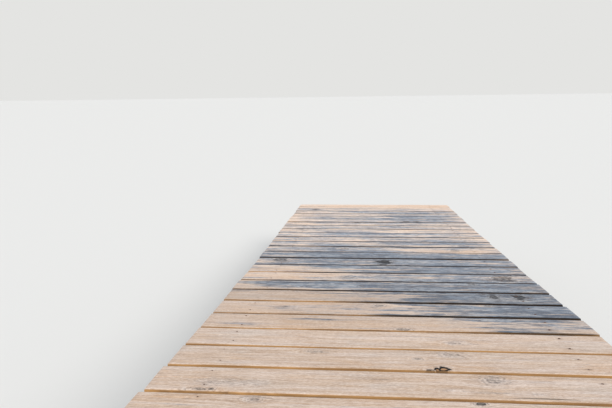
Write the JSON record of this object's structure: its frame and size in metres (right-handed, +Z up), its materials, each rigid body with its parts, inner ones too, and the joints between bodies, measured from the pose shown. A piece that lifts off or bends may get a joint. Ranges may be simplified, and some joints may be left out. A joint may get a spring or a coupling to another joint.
{
  "type": "timber jetty",
  "caption": "Straight timber jetty: cross-laid deck planks on two spliced stringers, carried by bents of round piles with twin cap beams and braces, falling gently to its outer end.",
  "frame": {"origin": "middle of the footprint, on the level where the piles meet the water", "axes": "+Z up, +Y out to the lake end along the deck, +X to the right when facing the lake"},
  "size_m": [1.262, 7.6462, 1.1752],
  "materials": {
    "deck_planks": "sawn softwood planks, weathered to pale tan and silver grey, with open grain, knots and nail marks",
    "sawn_framing": "sawn softwood framing, grey-brown, less weathered under the deck",
    "pile_logs": "peeled round logs, grey-brown, darker towards the water line",
    "brace_boards": "sawn softwood bracing boards, grey-brown",
    "fasteners": "rusted steel nails, bolts and washers"
  },
  "bodies": {
    "root": {"cap_lake_bent_1": "sawn_framing", "cap_lake_bent_2": "sawn_framing", "cap_lake_bent_3": "sawn_framing", "cap_lake_bent_4": "sawn_framing", "cap_lake_bent_5": "sawn_framing", "cap_shore_bent_1": "sawn_framing", "cap_shore_bent_2": "sawn_framing", "cap_shore_bent_3": "sawn_framing", "cap_shore_bent_4": "sawn_framing", "cap_shore_bent_5": "sawn_framing", "cross_brace_lake_bent_3": "brace_boards", "cross_brace_lake_bent_4": "brace_boards", "cross_brace_lake_bent_5": "brace_boards", "cross_brace_shore_bent_3": "brace_boards", "cross_brace_shore_bent_4": "brace_boards", "cross_brace_shore_bent_5": "brace_boards", "deck_planks_bay_1": "deck_planks", "deck_planks_bay_2": "deck_planks", "deck_planks_bay_3": "deck_planks", "deck_planks_bay_4": "deck_planks", "header_lake": "sawn_framing", "header_shore": "sawn_framing", "pile_left_bent_1": "pile_logs", "pile_left_bent_2": "pile_logs", "pile_left_bent_3": "pile_logs", "pile_left_bent_4": "pile_logs", "pile_left_bent_5": "pile_logs", "pile_right_bent_1": "pile_logs", "pile_right_bent_2": "pile_logs", "pile_right_bent_3": "pile_logs", "pile_right_bent_4": "pile_logs", "pile_right_bent_5": "pile_logs", "side_brace_left_bay_3": "brace_boards", "side_brace_left_bay_4": "brace_boards", "side_brace_right_bay_3": "brace_boards", "side_brace_right_bay_4": "brace_boards", "stringer_left_lake": "sawn_framing", "stringer_left_shore": "sawn_framing", "stringer_right_lake": "sawn_framing", "stringer_right_shore": "sawn_framing"}
  },
  "joints": []
}
